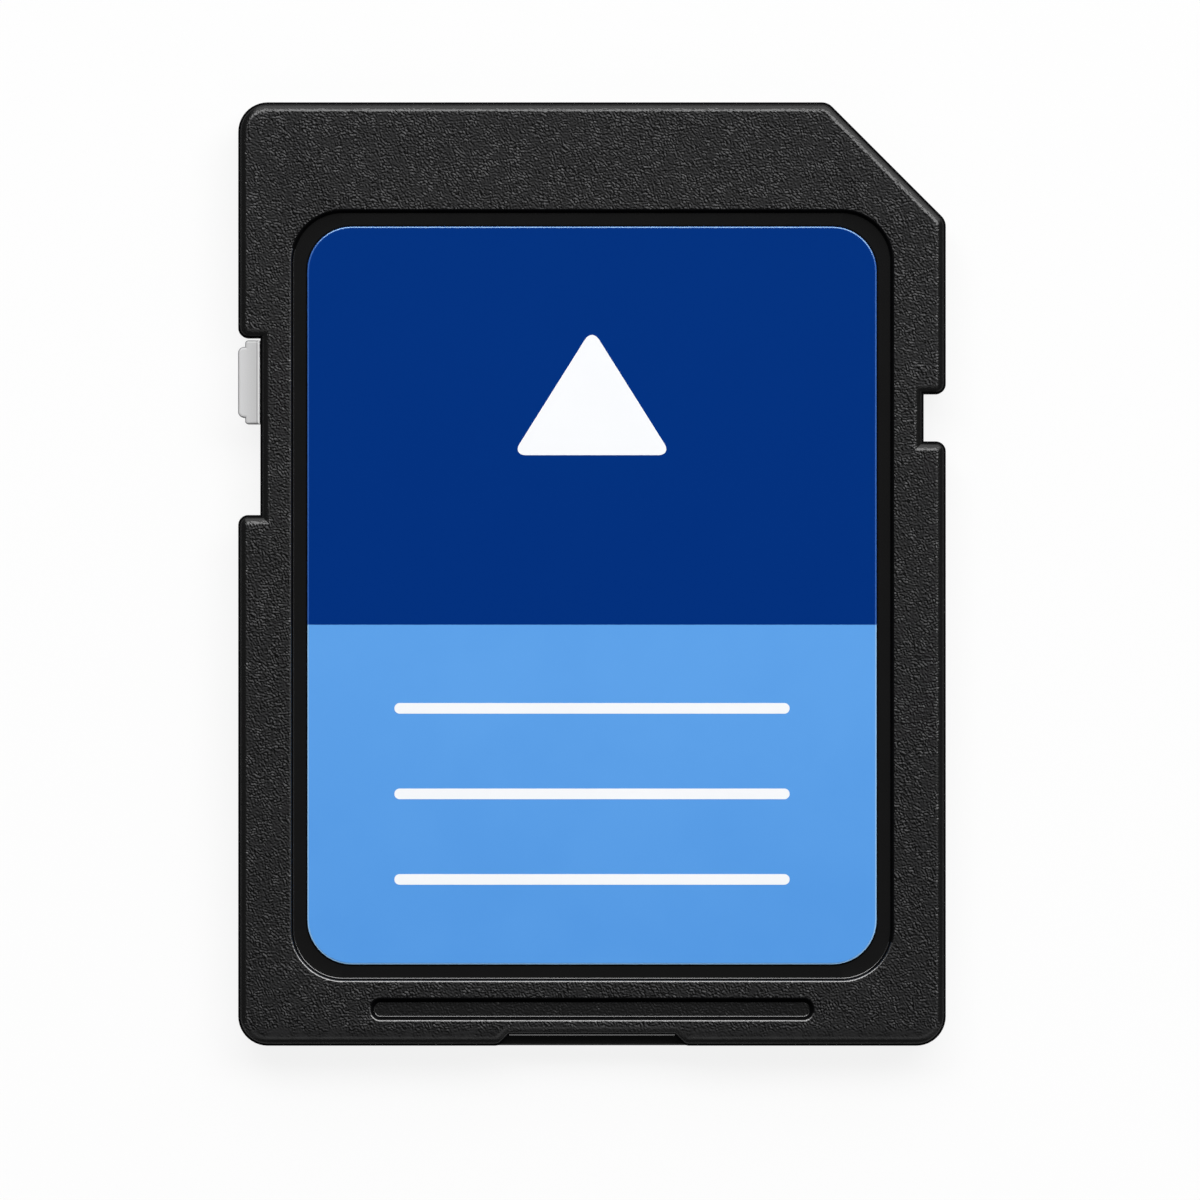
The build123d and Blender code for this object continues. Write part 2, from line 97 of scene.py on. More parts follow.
# Printed marks on the label
MARK_THICKNESS = 0.004 * MM
ARROW_WIDTH = 5.4 * MM
ARROW_HEIGHT = 4.3 * MM
ARROW_FROM_TOP = 3.4 * MM
ARROW_RADIUS = 0.45 * MM
LINE_LENGTH = 13.4 * MM
LINE_WIDTH = 0.36 * MM
LINE_END_RADIUS = 0.49 * LINE_WIDTH
LINE_PITCH = 2.9 * MM
LINE_COUNT = 3
MARK_STEPS = 8

# Finishes of the front shell, in the order of its material slots
FACE, SHEEN, EDGE, RIM, SUNK, GROOVE = range(6)

# Wear: the rims that face this way keep their shine, and so does a strip along the nail scoop's lip
SHINY_WAY = Vector((0.3, 1, 0))
LIP_HALF_LENGTH = 2.9 * MM
LIP_FROM_END = 0.35 * MM
LIP_SLOPES = (0.1, 0.56)

# Grain of the black plastic: the cells to a millimetre of its two waves, the turns in a cell, how far the
# waves keep to one way, and that way in radians
FINE_GRAIN = 6.8
BROAD_GRAIN = 4.4
GRAIN_FREQUENCY = 1.5
GRAIN_ORDER = 0.45
GRAIN_LIE = 1.08

# Grain by place, in millimetres: its fade below the face, also at the lip, and its wear at the card's end
GRAIN_FADE_START = 0.001
GRAIN_FADE = 0.02
LIP_FADE = 0.25
LIP_SPREAD = (0.15, 0.35)
WORN_SPAN = (0.4, 0.75)

# Colours of the black plastic and its grain, and the tint of the film's gloss
BLACK = (4, 4, 4)
GRAIN_GREY = (88, 88, 89)
GROOVE_GREY = (46, 46, 47)
FILM_TINT = (0.68, 1, 1, 1)

# Tinned caps of the small ceramic parts
CAP_LENGTH = 0.22 * MM

# Joining of loose triangles, and edges that stay sharp
WELD = 0.0005 * MM
FLAT_ANGLE = math.radians(0.4)
SHARP_ANGLE = math.radians(32)
FLAT_TILT = 0.02
UPWARD = 0.9

# Studio: the floor lies just clear of the card, so that no two faces share a plane
FLOOR_GAP = 0.01 * MM
FLOOR_HALF = 1.5
FLOOR_COLOUR = (0.9, 0.9, 0.9, 1)
FLOOR_GLOW = 0.86
WORLD_LIGHT = 0.1
LIGHT_DISTANCE = 0.8

# Camera: the photograph's frame in its own pixels, a long lens for next to no perspective, and the reach of
# its view as shares of its distance
PHOTO_SIZE = 1200
PHOTO_CARD_CENTRE = (592, 574)
PHOTO_PIXELS_PER_MM = 29.5
LENS = 400
NEAREST, FARTHEST = 0.01, 100


class Wire:
    """A shader socket that joins in arithmetic: each operation on it adds a Math node."""

    def __init__(self, finish, socket):
        self.finish = finish
        self.socket = socket

    def maths(self, operation, *terms):
        return self.finish.node("ShaderNodeMath", {"operation": operation}, dict(enumerate(terms)))

    def __add__(self, other):
        return self.maths("ADD", self, other)

    def __radd__(self, other):
        return self.maths("ADD", other, self)

    def __sub__(self, other):
        return self.maths("SUBTRACT", self, other)

    def __rsub__(self, other):
        return self.maths("SUBTRACT", other, self)

    def __mul__(self, other):
        return self.maths("MULTIPLY", self, other)

    def __rmul__(self, other):
        return self.maths("MULTIPLY", other, self)

    def __abs__(self):
        return self.maths("ABSOLUTE", self)

    def rising(self, low, high):
        """0 below low, 1 above high and smooth between."""
        return self.finish.node(
            "ShaderNodeMapRange",
            {"interpolation_type": "SMOOTHSTEP"},
            {"Value": self, "From Min": low, "From Max": high},
        )


class Finish:
    """A procedural material: its nodes, the place on the piece in millimetres, and its shader."""

    def __init__(self, name, **constants):
        self.material = bpy.data.materials.new(name)
        self.material.use_nodes = True
        self.tree = self.material.node_tree
        self.shader = self.tree.nodes["Principled BSDF"]
        for socket, value in constants.items():
            self.shader.inputs[socket.replace("_", " ")].default_value = value
        on_piece = self.node("ShaderNodeTexCoord", output="Object")
        self.place = self.node(
            "ShaderNodeVectorMath", {"operation": "SCALE"}, {0: on_piece, "Scale": 1 / MM}
        )
        self.x, self.y, self.z = (
            self.node("ShaderNodeSeparateXYZ", inputs={0: self.place}, output=axis) for axis in "XYZ"
        )

    def node(self, kind, settings=None, inputs=None, output=0):
        """Adds a node, sets it up, feeds its sockets and returns one of its outputs."""
        node = self.tree.nodes.new(kind)
        for name, value in (settings or {}).items():
            setattr(node, name, value)
        for name, value in (inputs or {}).items():
            if isinstance(value, Wire):
                self.tree.links.new(value.socket, node.inputs[name])
            else:
                node.inputs[name].default_value = value
        return Wire(self, node.outputs[output])

    def noise(self, scale, detail, stretch=(1, 1, 1)):
        """Cloudy noise with so many blotches to a millimetre, stretched on the piece."""
        at = self.node("ShaderNodeMapping", None, {"Vector": self.place, "Scale": stretch})
        return self.node("ShaderNodeTexNoise", None, {"Vector": at, "Scale": scale, "Detail": detail})

    def blend(self, share, first, second):
        """A colour between two, by a share from 0 to 1."""
        return self.node(
            "ShaderNodeMix", {"data_type": "RGBA"}, {"Factor": share, 6: first, 7: second}, output=2
        )

    def feed(self, **inputs):
        """Links values that change over the surface to the shader."""
        for socket, wire in inputs.items():
            self.tree.links.new(wire.socket, self.shader.inputs[socket.replace("_", " ")])

    def relief(self, height, depth):
        """Feeds the shader a surface raised by height times a depth in metres."""
        self.feed(Normal=self.node("ShaderNodeBump", None, {"Height": height, "Distance": depth}))


def colour(red, green, blue):
    """A linear colour from the 0 to 255 values of a screen."""
    parts = (value / 255 for value in (red, green, blue))
    linear = [part / 12.92 if part < 0.04045 else ((part + 0.055) / 1.055) ** 2.4 for part in parts]
    return (*linear, 1)


def black_plastic(name, level, depth, pale=GRAIN_GREY, reach=GRAIN_FADE, **constants):
    """Black moulded plastic with short worm-like grain at one level of the card, and smooth elsewhere.

    The grain's colour ends a short drop from the level, a longer one at the scoop's lip, and its relief
    ends at the reach.
    """
    finish = Finish(name, **constants)
    fine, broad = (
        finish.node(
            "ShaderNodeTexGabor",
            {"gabor_type": "2D"},
            {
                "Vector": finish.place,
                "Scale": scale,
                "Frequency": GRAIN_FREQUENCY,
                "Anisotropy": GRAIN_ORDER,
                "Orientation": GRAIN_LIE,
            },
        )
        for scale in (FINE_GRAIN, BROAD_GRAIN)
    )
    lively = finish.noise(scale=3.2, detail=2).rising(0.32, 0.68)
    unworn = finish.y.rising(CARD_END / MM + WORN_SPAN[0], CARD_END / MM + WORN_SPAN[1])
    wave = (0.74 * fine + 0.26 * broad - 0.5) * (0.28 + 0.92 * lively) * (0.2 + 0.8 * unworn)
    tone = (wave - 0.022 * lively).rising(-0.084, 0.195)

    lip_y = (CARD_END + LIP_FROM_END + EDGE_WIDTH / 2) / MM
    by_lip = 1 - abs(finish.y - lip_y).rising(*LIP_SPREAD)
    drop = abs(finish.z - level / MM)
    grained = 1 - drop.rising(GRAIN_FADE_START, GRAIN_FADE + LIP_FADE * by_lip)
    raised = 1 - drop.rising(GRAIN_FADE_START, reach)
    # Painted light: the grain's colour is paler towards the card's top, where the lamps are, and darker
    # towards its end.
    along = finish.y.rising(CARD_END / MM, CARD_TOP / MM)
    paleness = grained * tone * (0.78 + 0.22 * along) + (1 - grained) * 0.03
    speckle = finish.noise(scale=26, detail=2)
    drift = finish.noise(scale=0.9, detail=2)
    finish.relief(raised * wave + 0.02 * speckle, depth)
    finish.feed(
        Base_Color=finish.blend(paleness, colour(*BLACK), colour(*pale)),
        Roughness=0.2 + 0.03 * grained + 0.04 * drift,
    )
    return finish.material


def black_edge_plastic():
    """The front shell's rubbed matt edges and walls, with some gloss left on the sides below its face."""
    finish = Finish("black_edge_plastic", Specular_IOR_Level=0.0, Coat_Roughness=0.38, Coat_IOR=1.45)
    rub = finish.noise(scale=6, detail=3, stretch=(1, 1, 0.4))
    edge_foot = (FACE_Z - EDGE_DROP) / MM
    below = 1 - finish.z.rising(edge_foot - 0.12, edge_foot - 0.02)
    finish.relief(finish.noise(scale=24, detail=2), depth=0.003 * MM)
    finish.feed(
        Base_Color=finish.blend(rub, colour(9, 9, 10), colour(17, 17, 18)),
        Roughness=0.6 + 0.2 * rub,
        Coat_Weight=(0.5 + 0.2 * rub) * below,
    )
    return finish.material


def grey_plastic():
    """Light grey slider plastic, with painted shade inwards and on its rounded edges, and a painted
    highlight along its inner edge.
    """
    low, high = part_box("lock_slider")
    top = high.z / MM
    inner = (low.x + SLIDER_REACH + SLIDER_SNUG) / MM
    finish = Finish("light_grey_plastic", IOR=1.46)
    cloud = finish.noise(scale=1.4, detail=3)
    # Painted shade: greyer towards the slot wall beside the slider's inner side.
    inward = finish.x.rising(low.x / MM, inner)
    # Painted highlight: a pale strip along the inner edge.
    strip = finish.x.rising(inner - 0.058, inner - 0.045)
    # Painted shade: a dark band round the rounded upper edges, just below the top.
    edge = (1 - finish.z.rising(top - 0.03, top - 0.008)) * finish.z.rising(top - 0.14, top - 0.09)
    # Painted shade: a dark line a tenth of a millimetre in from the inner edge.
    seat = 1 - abs(finish.x - (inner - 0.1)).rising(0.005, 0.025)
    body = finish.blend(0.85 * inward + 0.15 * cloud, colour(206, 206, 207), colour(182, 182, 182))
    painted_edge_shade = finish.blend(0.85 * edge + 0.4 * seat * (1 - edge), body, colour(104, 104, 106))
    finish.relief(finish.noise(scale=22, detail=2), depth=0.004 * MM)
    finish.feed(
        # The pale strip on top is a painted highlight; the darker edges and line beneath it are painted
        # shade.
        Base_Color=finish.blend(strip, painted_edge_shade, colour(230, 230, 230)),
        Roughness=0.4 + 0.12 * cloud,
    )
    return finish.material


def film_plastic():
    """Label film, whose cut edge takes a tint from the print that lies on it."""
    finish = Finish("label_film_plastic", IOR=2.05, Specular_Tint=FILM_TINT)
    upper = finish.y.rising(FIELD_SPLIT / MM - 0.02, FIELD_SPLIT / MM + 0.02)
    cloud = finish.noise(scale=3.0, detail=2)
    finish.relief(finish.noise(scale=18, detail=2), depth=0.002 * MM)
    finish.feed(
        Base_Color=finish.blend(upper, colour(148, 198, 246), colour(40, 92, 178)),
        Roughness=0.2 + 0.1 * cloud,
    )
    return finish.material


def print_ink(name, low_end, high_end, span):
    """Printed ink: a colour that drifts along its field, paler towards its top as painted light, with slow
    mottling, and a satin surface.
    """
    finish = Finish(name, Specular_IOR_Level=0.015)
    # Painted light: from the low end at the foot of the field to the paler high end at its top, towards the
    # lamps.
    along = finish.y.rising(span[0].y / MM, span[1].y / MM)
    mottle = finish.noise(scale=0.35, detail=4)
    finish.relief(finish.noise(scale=30, detail=2), depth=0.0015 * MM)
    finish.feed(
        Base_Color=finish.blend(0.75 * along + 0.25 * mottle.rising(0.3, 0.7), low_end, high_end),
        Roughness=0.5 + 0.15 * mottle,
    )
    return finish.material


def gold_plate():
    """Gold contact plating with fine marks along the way that the card slides."""
    finish = Finish("gold_plating", Metallic=1.0)
    wipes = finish.noise(scale=9, detail=3, stretch=(3, 0.12, 1))
    cloud = finish.noise(scale=0.8, detail=3)
    finish.relief(wipes, depth=0.003 * MM)
    finish.feed(
        Base_Color=finish.blend(cloud, colour(214, 164, 76), colour(236, 196, 112)),
        Roughness=0.2 + 0.25 * wipes,
    )
    return finish.material


def board_mask():
    """Green solder mask over copper runs, with the grain of the cloth beneath."""
    finish = Finish("green_board_mask", IOR=1.5)
    across = finish.noise(scale=6, detail=2, stretch=(1, 0.2, 1))
    lengthways = finish.noise(scale=6, detail=2, stretch=(0.2, 1, 1))
    weave = across + lengthways
    runs = finish.node(
        "ShaderNodeTexWave",
        {"bands_direction": "X"},
        {"Vector": finish.place, "Scale": 1.1, "Distortion": 0.6},
    ).rising(0.55, 0.65)
    finish.relief(runs + 0.3 * weave, depth=0.008 * MM)
    finish.feed(
        Base_Color=finish.blend(runs, colour(22, 74, 42), colour(44, 104, 58)),
        Roughness=0.3 + 0.12 * weave,
    )
    return finish.material


def chip_resin():
    """Dark moulding resin of the chips, with a fine sandy surface."""
    finish = Finish("chip_resin", IOR=1.5)
    sand = finish.noise(scale=16, detail=3)
    finish.relief(sand, depth=0.006 * MM)
    finish.feed(
        Base_Color=finish.blend(sand, colour(26, 26, 28), colour(44, 44, 47)),
        Roughness=0.5 + 0.15 * sand,
    )
    return finish.material


def capped_ceramic(name, node, body_deep, body_pale):
    """A small ceramic block between two tinned end caps, told apart by the distance from its middle."""
    low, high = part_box(node)
    finish = Finish(name, IOR=1.5)
    middle = (low.y + high.y) / 2 / MM
    cap_start = ((high.y - low.y) / 2 - CAP_LENGTH) / MM
    cap = abs(finish.y - middle).rising(cap_start - 0.01, cap_start + 0.01)
    fleck = finish.noise(scale=12, detail=3)
    body = finish.blend(fleck, body_deep, body_pale)
    tin = finish.blend(fleck, colour(178, 180, 184), colour(214, 215, 217))
    finish.relief(fleck, depth=0.004 * MM)
    finish.feed(
        Base_Color=finish.blend(cap, body, tin),
        Metallic=cap,
        Roughness=0.5 - 0.2 * cap + 0.1 * fleck,
    )
    return finish.material


def merged(node):
    """A solid's surface with its loose triangles joined into whole faces."""
    bm = bmesh.new()
    bm.from_mesh(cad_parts[node].data)
    bmesh.ops.remove_doubles(bm, verts=bm.verts[:], dist=WELD)
    bmesh.ops.dissolve_limit(bm, angle_limit=FLAT_ANGLE, verts=bm.verts[:], edges=bm.edges[:])
    return bm


def facing(face, side):
    """Turns a level face to look up (1) or down (-1)."""
    face.normal_update()
    if face.normal.z * side < 0:
        face.normal_flip()
    return face


def open_end(bm, level, side):
    """Removes the faces wholly beyond a level, above it (1) or below it (-1), and caps the rim left."""
    beyond = [f for f in bm.faces if all(side * (v.co.z - level) > -WELD for v in f.verts)]
    bmesh.ops.delete(bm, geom=beyond, context="FACES")
    rim = [e for e in bm.edges if e.is_boundary]
    return facing(bmesh.ops.edgeloop_fill(bm, edges=rim)["faces"][0], side)


def follow(bm, face, section):
    """Carries a face's outline along a section of inward and upward places, each with its finish."""
    for (start_in, start_up, _), (end_in, end_up, finish) in zip(section, section[1:]):
        band = bmesh.ops.inset_region(
            bm,
            faces=[face],
            use_boundary=True,
            use_even_offset=True,
            thickness=end_in - start_in,
            depth=end_up - start_up,
        )["faces"]
        for part in band:
            part.material_index = finish


def crown(width, rise, steps, power=2.0, shine=0.0, below=FACE, above=FACE):
    """Section of a wall that rounds over into a flat face, with one finish below a drop and one above it.

    A power of 2 gives an ellipse, and a lower one a flatter shoulder.
    """
    section = []
    for step in range(steps + 1):
        angle = math.pi / 2 * step / steps
        inward = width * (1 - math.cos(angle) ** (2 / power))
        up = rise * math.sin(angle) ** (2 / power)
        section.append((inward, up, below if rise - up > shine else above))
    return section


def drafted_wall(depth, slope):
    """Section of a sunk wall: a rolled rim, a straight matt slope and a hollow foot."""
    angles = [slope * step / ARC_STEPS for step in range(ARC_STEPS + 1)]
    rim = [(RIM_RADIUS * math.sin(a), RIM_RADIUS * (math.cos(a) - 1), RIM) for a in angles]
    run = (depth - (RIM_RADIUS + FOOT_RADIUS) * (1 - math.cos(slope))) / math.sin(slope)
    foot_in = rim[-1][0] + run * math.cos(slope) + FOOT_RADIUS * math.sin(slope)
    foot = [
        (foot_in - FOOT_RADIUS * math.sin(a), FOOT_RADIUS * (1 - math.cos(a)) - depth, RIM)
        for a in reversed(angles)
    ]
    foot[0] = (*foot[0][:2], EDGE)
    return rim + foot


def round_corners(bm, corners, radius, steps):
    """Rounds the corners of a flat face."""
    bmesh.ops.bevel(
        bm,
        geom=corners,
        offset=radius,
        offset_type="OFFSET",
        affect="VERTICES",
        segments=steps,
        profile=0.5,
        material=-1,
    )


def plate(bm, width, length, centre, radius, steps):
    """A flat face with rounded corners, looking up, at a centre."""
    known = set(bm.faces)
    corners = bmesh.ops.create_grid(bm, x_segments=1, y_segments=1, size=0.5)["verts"]
    bmesh.ops.scale(bm, vec=(width, length, 1), verts=corners)
    bmesh.ops.translate(bm, vec=centre, verts=corners)
    round_corners(bm, corners, radius, steps)
    return facing(next(f for f in bm.faces if f not in known), 1)


def film_plate(bm, margin, level, radius):
    """A flat face where the film lies, larger than the film by a margin all round."""
    return plate(
        bm,
        FILM_SIZE.x + 2 * margin,
        FILM_SIZE.y + 2 * margin,
        (FILM_CENTRE.x, FILM_CENTRE.y, level),
        radius,
        CORNER_STEPS,
    )


def turns_sharply(edge):
    """Tells whether the surface turns sharply at an edge, in space or as seen from above."""
    first, second = (face.normal for face in edge.link_faces)
    if first.angle(second) > SHARP_ANGLE:
        return True
    if min(first.xy.length, second.xy.length) < FLAT_TILT:
        return False
    return first.xy.angle(second.xy) > SHARP_ANGLE


def add_object(bm, name, materials):
    """Makes a bmesh an object of the scene with its materials."""
    mesh = bpy.data.meshes.new(name)
    bm.to_mesh(mesh)
    bm.free()
    for material in materials:
        mesh.materials.append(material)
    made = bpy.data.objects.new(name, mesh)
    bpy.context.scene.collection.objects.link(made)
    return made


def add_piece(bm, name, body, materials, stands_for=()):
    """Makes a bmesh a piece that rides on a body, with smooth faces between its sharp edges."""
    bmesh.ops.recalc_face_normals(bm, faces=bm.faces[:])
    for edge in bm.edges:
        edge.smooth = not turns_sharply(edge)
    piece = add_object(bm, name, materials)
    piece.data.shade_smooth()
    weights = piece.modifiers.new("even_shading", "WEIGHTED_NORMAL")
    weights.mode = "FACE_AREA"
    weights.keep_sharp = True
    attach(piece, body)
    if stands_for:
        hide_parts(*stands_for)


def part_recess_floor(bm, recess):
    """Parts the recess floor into a smooth ring and a matt seat under the film, whose dark rim round the
    film is a painted shadow at the film's edge.
    """
    outline = list(recess.edges)
    bmesh.ops.delete(bm, geom=[recess], context="FACES_ONLY")
    # The seat reaches a little beyond the film, so that a matt dark ring shows round it: a painted shadow.
    seat = film_plate(bm, FILM_SHADOW_WIDTH, FILM_LOW.z, FILM_RADIUS + FILM_SHADOW_WIDTH)
    seat.material_index = EDGE
    outline += list(seat.edges)
    ring = bmesh.ops.triangle_fill(bm, use_beauty=True, edges=outline, normal=(0, 0, 1))["geom"]
    for part in ring:
        if isinstance(part, bmesh.types.BMFace):
            part.material_index = SUNK


def wear_rims(bm):
    """Dulls the rims that face away from the shiny way, and polishes the nail scoop's lip."""
    bm.normal_update()
    lip_y = CARD_END + LIP_FROM_END
    for part in bm.faces:
        middle = part.calc_center_median()
        up = part.normal.z
        if part.material_index == RIM and up > 0 and part.normal.dot(SHINY_WAY) < 0:
            part.material_index = EDGE
        over_lip = abs(middle.x) < LIP_HALF_LENGTH and 0 < middle.y - lip_y < EDGE_WIDTH
        if over_lip and middle.z > FACE_Z - EDGE_DROP and LIP_SLOPES[0] < up < LIP_SLOPES[1]:
            part.material_index = RIM


def front_shell(*finishes):
    """The label-side shell with its rolled edge, label recess and grip groove."""
    bm = merged("front_shell")
    face = open_end(bm, FACE_Z - EDGE_DROP, 1)
    for part in bm.faces:
        part.material_index = EDGE
    rolled = crown(EDGE_WIDTH, EDGE_DROP, EDGE_STEPS, EDGE_POWER, EDGE_SHINE, EDGE, SHEEN)
    follow(bm, face, rolled)
    outline = list(face.edges)
    bmesh.ops.delete(bm, geom=[face], context="FACES_ONLY")
    recess = film_plate(bm, RECESS_MARGIN, FACE_Z, RECESS_RADIUS)
    groove = plate(
        bm,
        GROOVE_LENGTH,
        GROOVE_WIDTH,
        (FILM_CENTRE.x, CARD_END + GROOVE_FROM_END, FACE_Z),
        GROOVE_RADIUS,
        CORNER_STEPS,
    )
    outline += list(recess.edges) + list(groove.edges)
    bmesh.ops.triangle_fill(bm, use_beauty=True, edges=outline, normal=(0, 0, 1))
    follow(bm, recess, drafted_wall(FACE_Z - FILM_LOW.z, RECESS_SLOPE))
    follow(bm, groove, drafted_wall(GROOVE_DEPTH, GROOVE_SLOPE))
    groove.material_index = GROOVE
    part_recess_floor(bm, recess)
    wear_rims(bm)
    add_piece(bm, "front_shell_moulding", "card", finishes, ["front_shell"])


def rear_shell(material):
    """The contact-side shell with the sharp edges of its back and its windows eased."""
    bm = merged("rear_shell")
    sharp = [
        e for e in bm.edges
        if e.is_convex
        and e.calc_face_angle() > REAR_EASE_ANGLE
        and all(v.co.z < REAR_EASE_TOP for v in e.verts)
    ]
    bmesh.ops.bevel(
        bm,
        geom=sharp,
        offset=REAR_EASE,
        offset_type="OFFSET",
        affect="EDGES",
        segments=REAR_EASE_STEPS,
        profile=0.5,
        material=-1,
        clamp_overlap=False,
    )
    add_piece(bm, "rear_shell_moulding", "card", [material], ["rear_shell"])


def lock_slider(material):
    """The lock slider with rounded upper and lower edges, its inner side drawn up to the slot's floor."""
    low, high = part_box("lock_slider")
    bm = merged("lock_slider")
    inner = [v for v in bm.verts if abs(v.co.x - low.x - SLIDER_REACH) < WELD]
    bmesh.ops.translate(bm, vec=(SLIDER_SNUG, 0, 0), verts=inner)
    for level, side in ((high.z - SLIDER_EASE_DROP, 1), (low.z + SLIDER_EASE_DROP, -1)):
        end = open_end(bm, level, side)
        follow(bm, end, crown(SLIDER_EASE_WIDTH, SLIDER_EASE_DROP, EASE_STEPS))
    add_piece(bm, "lock_slider_moulding", "slider", [material], ["lock_slider"])


def label_film(material):
    """The label film with its upper edge rounded off under the pressing tool."""
    bm = merged("label_film")
    upper = next(f for f in bm.faces if f.normal.z > UPWARD)
    sides = list(upper.edges)
    corners = list(upper.verts)
    bmesh.ops.delete(bm, geom=[upper], context="FACES_ONLY")
    bmesh.ops.translate(bm, vec=(0, 0, -FILM_EASE_DROP), verts=corners)
    upper = facing(bmesh.ops.edgeloop_fill(bm, edges=sides)["faces"][0], 1)
    follow(bm, upper, crown(FILM_EASE_WIDTH, FILM_EASE_DROP, EASE_STEPS))
    add_piece(bm, "label_film_sheet", "card", [material], ["label_film"])


def thicken(bm, face):
    """Raises a flat mark into a thin closed layer."""
    made = bmesh.ops.extrude_face_region(bm, geom=[face], use_keep_orig=True)["geom"]
    raised = [part for part in made if isinstance(part, bmesh.types.BMVert)]
    bmesh.ops.translate(bm, vec=(0, 0, MARK_THICKNESS), verts=raised)


def arrow_mark(material):
    """A printed arrowhead that points to the edge that goes in first."""
    bm = bmesh.new()
    corners = bmesh.ops.create_circle(bm, cap_ends=True, segments=3, radius=1)["verts"]
    low = Vector(min(v.co[axis] for v in corners) for axis in range(3))
    high = Vector(max(v.co[axis] for v in corners) for axis in range(3))
    stretch = (ARROW_WIDTH / (high.x - low.x), ARROW_HEIGHT / (high.y - low.y), 1)
    tip = (0, UPPER_FIELD[1].y - ARROW_FROM_TOP, UPPER_FIELD[1].z)
    bmesh.ops.translate(bm, vec=(-(low.x + high.x) / 2, -high.y, 0), verts=corners)
    bmesh.ops.scale(bm, vec=stretch, verts=corners)
    bmesh.ops.translate(bm, vec=tip, verts=corners)
    round_corners(bm, corners, ARROW_RADIUS, MARK_STEPS)
    thicken(bm, next(iter(bm.faces)))
    add_piece(bm, "label_arrow_mark", "card", [material])


def writing_lines(material):
    """Printed lines to write on, across the lower field."""
    low, high = LOWER_FIELD
    bm = bmesh.new()
    middle_y = (low.y + high.y) / 2
    for line in range(LINE_COUNT):
        y = middle_y + (line - (LINE_COUNT - 1) / 2) * LINE_PITCH
        thicken(bm, plate(bm, LINE_LENGTH, LINE_WIDTH, (0, y, high.z), LINE_END_RADIUS, MARK_STEPS))
    add_piece(bm, "label_writing_lines", "card", [material])


def dress(node, material):
    """Gives a solid that shows as it is its finish."""
    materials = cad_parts[node].data.materials
    materials.clear()
    materials.append(material)


def add_floor():
    """A pale floor that is white to the eye and takes the card's soft shadow."""
    bm = bmesh.new()
    corners = bmesh.ops.create_grid(bm, x_segments=1, y_segments=1, size=FLOOR_HALF)["verts"]
    bmesh.ops.translate(bm, vec=(0, 0, -FLOOR_GAP), verts=corners)
    finish = Finish("pale_floor", Base_Color=FLOOR_COLOUR, Roughness=1.0, Specular_IOR_Level=0.0)
    seen, mirrored, shone = (
        finish.node("ShaderNodeLightPath", output=f"Is {ray} Ray")
        for ray in ("Camera", "Glossy", "Transmission")
    )
    white = FLOOR_GLOW * (seen + mirrored + shone)
    lit = Wire(finish, finish.shader.outputs[0])
    glow = finish.node("ShaderNodeEmission", None, {"Strength": 1.0})
    both = finish.node("ShaderNodeMixShader", None, {0: white, 1: lit, 2: glow})
    finish.tree.links.new(both.socket, finish.tree.nodes["Material Output"].inputs["Surface"])
    add_object(bm, "floor", [finish.material])


def add_softbox(name, direction, width, height, radiance):
    """A large rectangular light that faces the card from a direction, with a given brightness."""
    light = bpy.data.lights.new(name, "AREA")
    light.shape = "RECTANGLE"
    light.size = width
    light.size_y = height
    light.energy = radiance * math.pi * width * height
    softbox = bpy.data.objects.new(name, light)
    softbox.location = Vector(direction).normalized() * LIGHT_DISTANCE
    softbox.rotation_euler = Vector(direction).to_track_quat("Z", "Y").to_euler()
    softbox.visible_camera = False
    bpy.context.scene.collection.objects.link(softbox)


def add_world():
    """Dim even light from all round, white where it is seen straight."""
    world = bpy.data.worlds.new("studio")
    bpy.context.scene.world = world
    world.use_nodes = True
    tree = world.node_tree
    background = tree.nodes["Background"]
    background.inputs["Color"].default_value = (1, 1, 1, 1)
    path = tree.nodes.new("ShaderNodeLightPath")
    level = tree.nodes.new("ShaderNodeMapRange")
    level.inputs["To Min"].default_value = WORLD_LIGHT
    level.inputs["To Max"].default_value = 1.0
    tree.links.new(path.outputs["Is Camera Ray"], level.inputs["Value"])
    tree.links.new(level.outputs[0], background.inputs["Strength"])


def add_camera():
    """A long lens straight above the card, framed as the photograph is."""
    pixel = MM / PHOTO_PIXELS_PER_MM
    lens = bpy.data.cameras.new("camera")
    lens.lens = LENS
    distance = PHOTO_SIZE * pixel * LENS / lens.sensor_width
    lens.clip_start = distance * NEAREST
    lens.clip_end = distance * FARTHEST
    camera = bpy.data.objects.new("camera", lens)
    camera.location = (
        (PHOTO_SIZE / 2 - PHOTO_CARD_CENTRE[0]) * pixel,
        (PHOTO_CARD_CENTRE[1] - PHOTO_SIZE / 2) * pixel,
        FACE_Z + distance,
    )
    bpy.context.scene.collection.objects.link(camera)
    bpy.context.scene.camera = camera


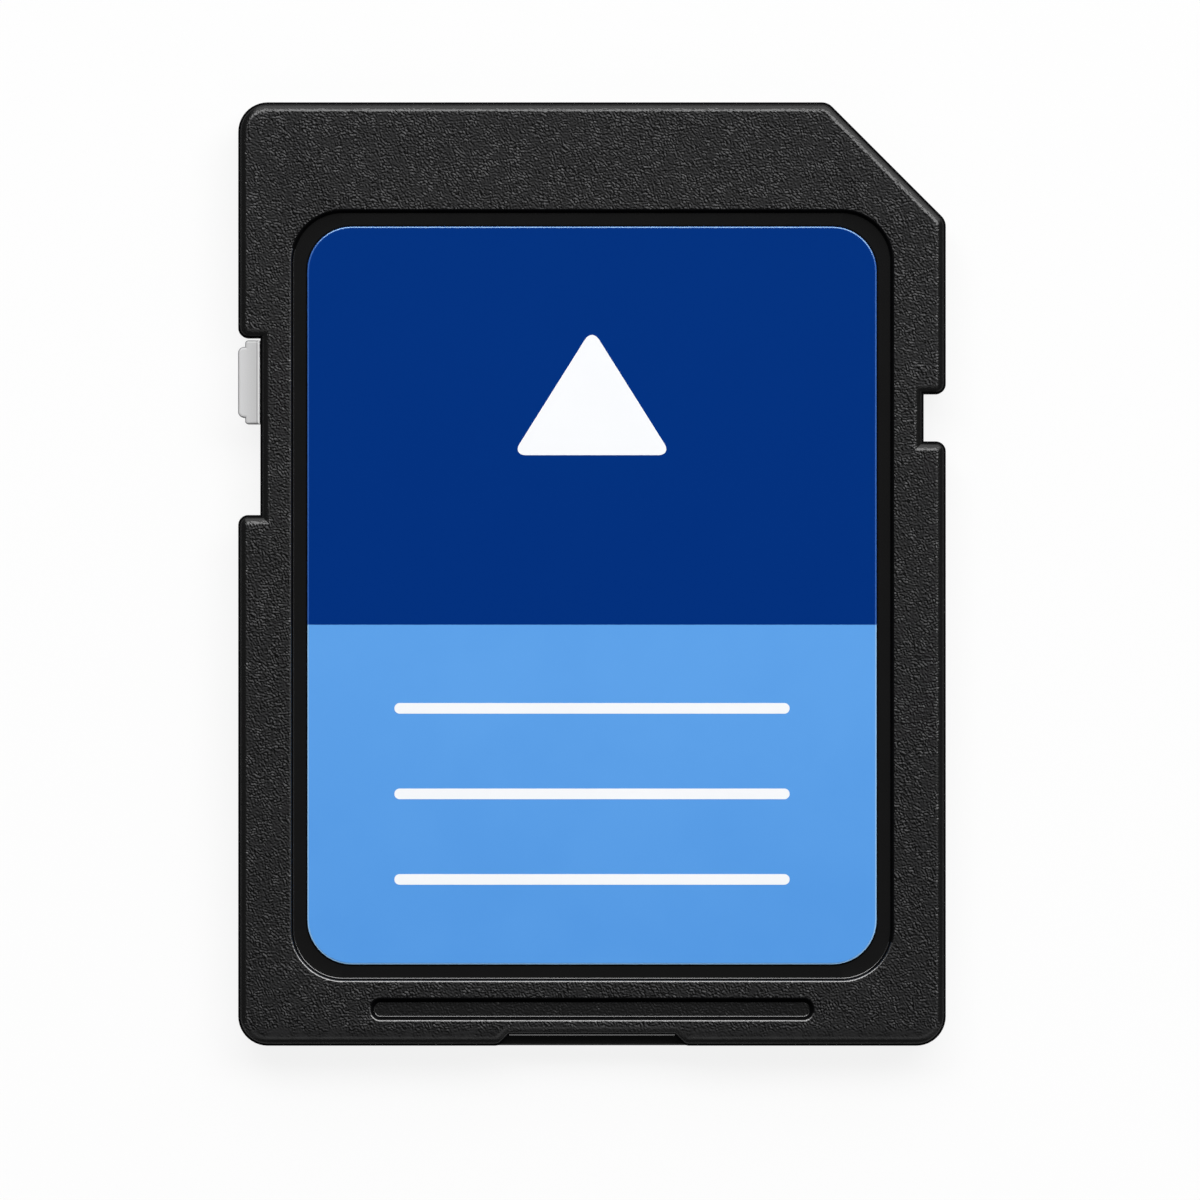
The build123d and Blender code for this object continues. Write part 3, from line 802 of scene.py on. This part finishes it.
front_shell(
    black_plastic("black_grained_plastic", FACE_Z, depth=0.02 * MM, Specular_IOR_Level=0.16),
    black_plastic("black_rolled_plastic", FACE_Z, depth=0.022 * MM, reach=0.1, IOR=1.5),
    black_edge_plastic(),
    black_plastic("black_polished_plastic", FACE_Z, depth=0.01 * MM, IOR=2.15),
    black_plastic("black_smooth_plastic", FACE_Z, depth=0.04 * MM, Specular_IOR_Level=0.3),
    black_plastic(
        "black_groove_plastic", FACE_Z - GROOVE_DEPTH, depth=0.01 * MM, pale=GROOVE_GREY, IOR=1.45
    ),
)
rear_shell(black_plastic("black_back_plastic", 0.0, depth=0.03 * MM, Specular_IOR_Level=0.3))
lock_slider(grey_plastic())
label_film(film_plastic())
# Each ink's second colour, at the top of its field, is the paler one: painted light.
white_ink = print_ink("white_ink", colour(244, 246, 249), colour(250, 251, 253), UPPER_FIELD)
arrow_mark(white_ink)
writing_lines(white_ink)

# Solids that show as they are, by the start of their names
resin = chip_resin()
# Each ink below runs paler towards the top of its field: painted light.
finishes = {
    "label_upper_field": print_ink(
        "dark_blue_ink", colour(0, 47, 124), colour(1, 49, 126), UPPER_FIELD
    ),
    "label_lower_field": print_ink(
        "light_blue_ink", colour(84, 152, 226), colour(94, 161, 232), LOWER_FIELD
    ),
    "contact_pad": gold_plate(),
    "circuit_board": board_mask(),
    "memory_chip": resin,
    "controller_chip": resin,
    "capacitor": capped_ceramic(
        "tan_ceramic", "capacitor_1", colour(150, 112, 74), colour(172, 134, 94)
    ),
    "resistor": capped_ceramic("dark_ceramic", "resistor_1", colour(24, 24, 26), colour(38, 38, 42)),
}
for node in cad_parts:
    for start, material in finishes.items():
        if node.startswith(start):
            dress(node, material)

add_floor()
add_world()
add_softbox("upper_softbox", direction=(0.1, 0.52, 0.85), width=1.1, height=0.36, radiance=6.0)
add_softbox("lower_softbox", direction=(0.2, 0.9, 0.44), width=1.4, height=0.44, radiance=1.4)
add_softbox("fill_softbox", direction=(0.1, -0.55, 0.83), width=0.9, height=0.34, radiance=0.4)
add_camera()
bpy.context.scene.view_settings.view_transform = "Standard"
